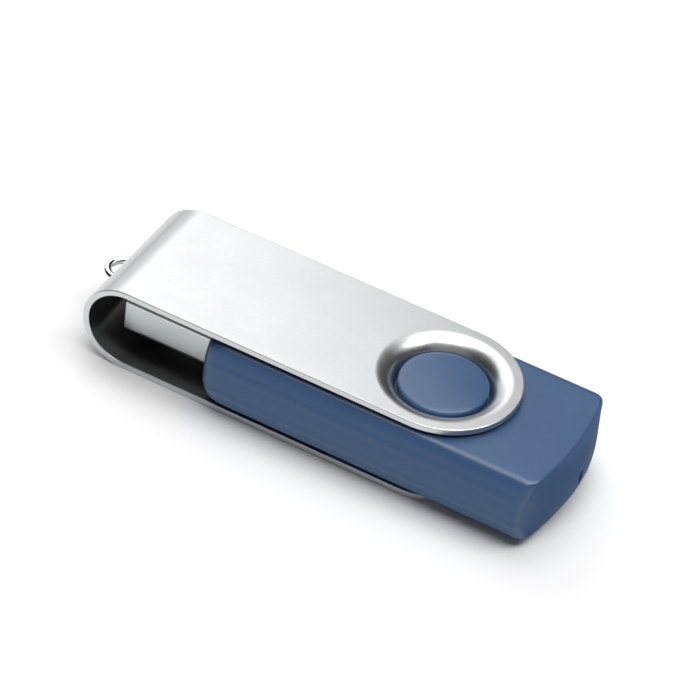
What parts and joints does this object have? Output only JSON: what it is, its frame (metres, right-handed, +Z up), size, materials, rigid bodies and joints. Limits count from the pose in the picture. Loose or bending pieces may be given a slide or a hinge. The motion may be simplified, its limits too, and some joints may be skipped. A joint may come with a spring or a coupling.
{
  "type": "usb flash drive",
  "caption": "Flat USB flash drive: a bent steel cover with a key loop swivels on round buttons set in a blue plastic body that holds the plug and board.",
  "frame": {"origin": "middle of the footprint, on the surface that the drive lies on", "axes": "+X towards the body's rear end, away from the plug and key loop; +Z up along the pivot axis"},
  "size_m": [0.0624, 0.0206, 0.011],
  "materials": {
    "satin_steel": "satin, fine grained",
    "chrome_wire": "polished",
    "blue_plastic": "satin moulded",
    "plug_steel": "bright rolled",
    "white_plastic": "moulded",
    "gold_contact": "plated",
    "board_green": "solder mask",
    "chip_black": "moulded epoxy",
    "solder": "dull",
    "crystal_can": "satin",
    "capacitor_tan": "fired",
    "resistor_black": "fired",
    "ferrite_grey": "fired",
    "led_lens": "clear moulded",
    "smoked_window": "clear moulded"
  },
  "bodies": {
    "drive": {"upper_shell": "blue_plastic", "lower_shell": "blue_plastic", "top_pivot_button": "blue_plastic", "bottom_pivot_button": "blue_plastic", "usb_plug_shell": "plug_steel", "usb_insulator": "white_plastic", "contact_vbus": "gold_contact", "contact_data_minus": "gold_contact", "contact_data_plus": "gold_contact", "contact_ground": "gold_contact", "circuit_board": "board_green", "flash_memory_chip": "chip_black", "flash_chip_leads": "solder", "controller_chip": "chip_black", "controller_chip_leads": "solder", "crystal_oscillator": "crystal_can", "ceramic_capacitors": "capacitor_tan", "chip_resistors": "resistor_black", "ferrite_bead": "ferrite_grey", "status_led": "led_lens", "light_pipe": "smoked_window", "solder_joints": "solder"},
    "cover": {"swivel_cover": "satin_steel", "key_loop": "chrome_wire"}
  },
  "joints": [
    {"name": "cover_swivel", "type": "hinge", "parent": "drive", "child": "cover", "pos_m": [0.01323, 0, 0.0055], "axis": [0, 0, 1], "continuous": true}
  ]
}
